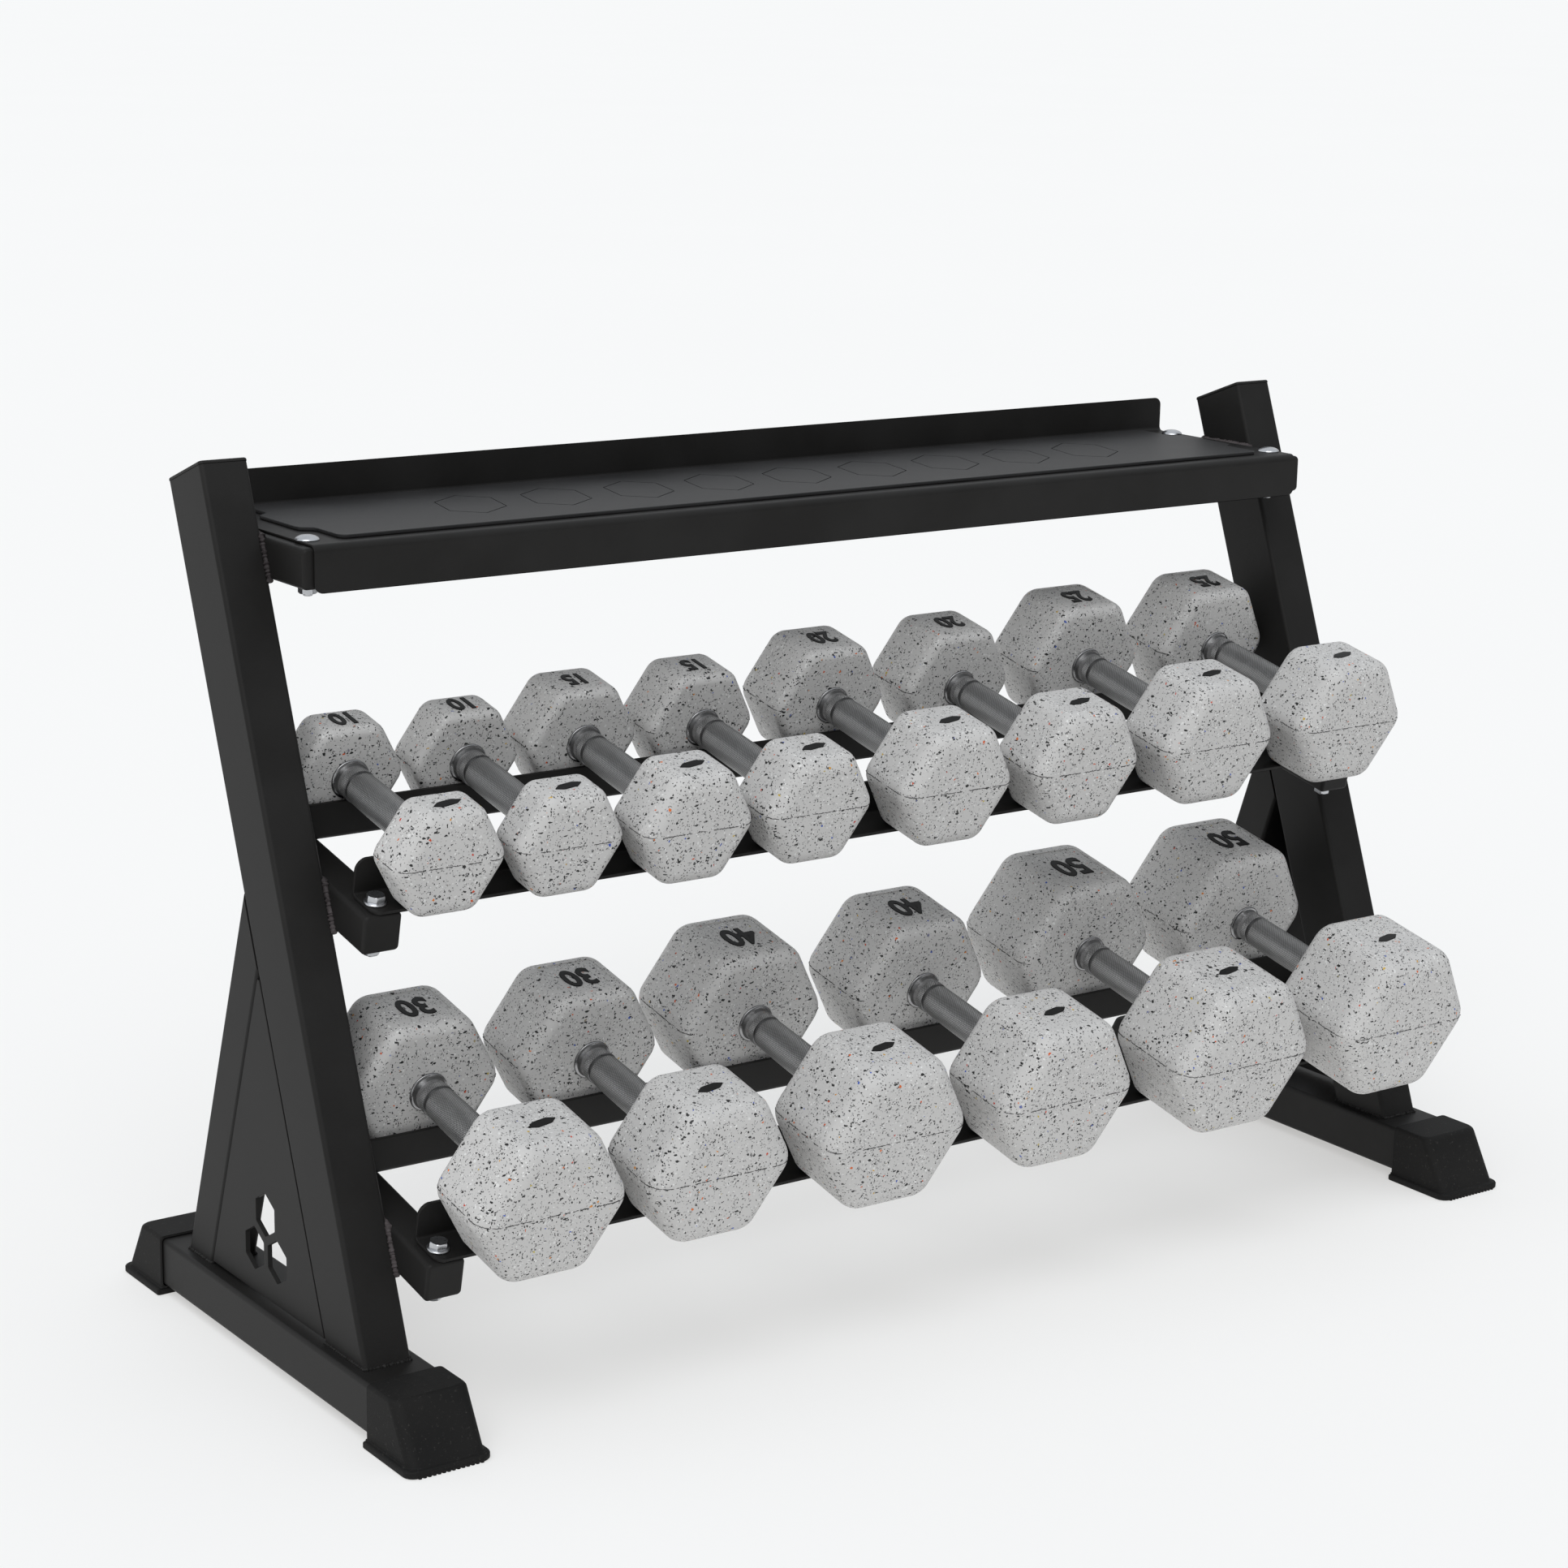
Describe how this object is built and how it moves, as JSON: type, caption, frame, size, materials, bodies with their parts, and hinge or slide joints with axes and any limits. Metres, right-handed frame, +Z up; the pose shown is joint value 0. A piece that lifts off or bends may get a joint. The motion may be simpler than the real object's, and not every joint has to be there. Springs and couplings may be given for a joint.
{
  "type": "dumbbell rack",
  "caption": "Free-standing three-level rack: two A-shaped steel side frames on rubber feet, a top tray with a rubber mat, and two sloping tiers of angle rails holding hexagonal dumbbells.",
  "frame": {"origin": "on the floor, under the middle of the bounding box", "axes": "+X to the right seen from the front, +Y to the back, +Z up"},
  "size_m": [1.127, 0.5236, 0.6986],
  "materials": {
    "frame_black": "matte black powder coat",
    "foot_rubber": "matte black moulded rubber",
    "mat_rubber": "dark grey rubber with a soft sheen",
    "zinc_steel": "bright zinc plate",
    "dumbbell_cover": "pale grey speckled cover over cast iron",
    "handle_steel": "dark knurled steel of the dumbbell handles, part of each dumbbell node",
    "numeral_black": "raised black numerals and marks, part of each dumbbell node"
  },
  "bodies": {
    "rack": {"left_base_tube": "frame_black", "left_upright": "frame_black", "left_upright_cap": "frame_black", "left_rear_brace": "frame_black", "left_gusset_plate": "frame_black", "left_tray_arm": "frame_black", "left_upper_arm": "frame_black", "left_lower_arm": "frame_black", "left_front_foot": "foot_rubber", "left_rear_foot": "foot_rubber", "right_base_tube": "frame_black", "right_upright": "frame_black", "right_upright_cap": "frame_black", "right_rear_brace": "frame_black", "right_gusset_plate": "frame_black", "right_tray_arm": "frame_black", "right_upper_arm": "frame_black", "right_lower_arm": "frame_black", "right_front_foot": "foot_rubber", "right_rear_foot": "foot_rubber", "upper_front_bolt_left": "zinc_steel", "upper_rear_bolt_left": "zinc_steel", "upper_front_nut_left": "zinc_steel", "lower_front_bolt_left": "zinc_steel", "lower_rear_bolt_left": "zinc_steel", "lower_front_nut_left": "zinc_steel", "tray_front_bolt_left": "zinc_steel", "tray_rear_bolt_left": "zinc_steel", "tray_front_nut_left": "zinc_steel", "upper_front_bolt_right": "zinc_steel", "upper_rear_bolt_right": "zinc_steel", "upper_front_nut_right": "zinc_steel", "lower_front_bolt_right": "zinc_steel", "lower_rear_bolt_right": "zinc_steel", "lower_front_nut_right": "zinc_steel", "tray_front_bolt_right": "zinc_steel", "tray_rear_bolt_right": "zinc_steel", "tray_front_nut_right": "zinc_steel", "top_tray": "frame_black", "tray_mat": "mat_rubber", "upper_front_rail": "frame_black", "upper_rear_rail": "frame_black", "lower_front_rail": "frame_black", "lower_rear_rail": "frame_black"},
    "dumbbell_10_left": {"dumbbell_10_left": "dumbbell_cover"},
    "dumbbell_10_right": {"dumbbell_10_right": "dumbbell_cover"},
    "dumbbell_15_left": {"dumbbell_15_left": "dumbbell_cover"},
    "dumbbell_15_right": {"dumbbell_15_right": "dumbbell_cover"},
    "dumbbell_20_left": {"dumbbell_20_left": "dumbbell_cover"},
    "dumbbell_20_right": {"dumbbell_20_right": "dumbbell_cover"},
    "dumbbell_25_left": {"dumbbell_25_left": "dumbbell_cover"},
    "dumbbell_25_right": {"dumbbell_25_right": "dumbbell_cover"},
    "dumbbell_30_left": {"dumbbell_30_left": "dumbbell_cover"},
    "dumbbell_30_right": {"dumbbell_30_right": "dumbbell_cover"},
    "dumbbell_40_left": {"dumbbell_40_left": "dumbbell_cover"},
    "dumbbell_40_right": {"dumbbell_40_right": "dumbbell_cover"},
    "dumbbell_50_left": {"dumbbell_50_left": "dumbbell_cover"},
    "dumbbell_50_right": {"dumbbell_50_right": "dumbbell_cover"}
  },
  "joints": [
    {"name": "lift_10_left", "type": "slide", "parent": "rack", "child": "dumbbell_10_left", "axis": [0, 0, 1], "range_m": [0, 0.06]},
    {"name": "lift_10_right", "type": "slide", "parent": "rack", "child": "dumbbell_10_right", "axis": [0, 0, 1], "range_m": [0, 0.06]},
    {"name": "lift_15_left", "type": "slide", "parent": "rack", "child": "dumbbell_15_left", "axis": [0, 0, 1], "range_m": [0, 0.06]},
    {"name": "lift_15_right", "type": "slide", "parent": "rack", "child": "dumbbell_15_right", "axis": [0, 0, 1], "range_m": [0, 0.06]},
    {"name": "lift_20_left", "type": "slide", "parent": "rack", "child": "dumbbell_20_left", "axis": [0, 0, 1], "range_m": [0, 0.06]},
    {"name": "lift_20_right", "type": "slide", "parent": "rack", "child": "dumbbell_20_right", "axis": [0, 0, 1], "range_m": [0, 0.06]},
    {"name": "lift_25_left", "type": "slide", "parent": "rack", "child": "dumbbell_25_left", "axis": [0, 0, 1], "range_m": [0, 0.06]},
    {"name": "lift_25_right", "type": "slide", "parent": "rack", "child": "dumbbell_25_right", "axis": [0, 0, 1], "range_m": [0, 0.06]},
    {"name": "lift_30_left", "type": "slide", "parent": "rack", "child": "dumbbell_30_left", "axis": [0, 0, 1], "range_m": [0, 0.06]},
    {"name": "lift_30_right", "type": "slide", "parent": "rack", "child": "dumbbell_30_right", "axis": [0, 0, 1], "range_m": [0, 0.06]},
    {"name": "lift_40_left", "type": "slide", "parent": "rack", "child": "dumbbell_40_left", "axis": [0, 0, 1], "range_m": [0, 0.06]},
    {"name": "lift_40_right", "type": "slide", "parent": "rack", "child": "dumbbell_40_right", "axis": [0, 0, 1], "range_m": [0, 0.06]},
    {"name": "lift_50_left", "type": "slide", "parent": "rack", "child": "dumbbell_50_left", "axis": [0, 0, 1], "range_m": [0, 0.06]},
    {"name": "lift_50_right", "type": "slide", "parent": "rack", "child": "dumbbell_50_right", "axis": [0, 0, 1], "range_m": [0, 0.06]}
  ]
}
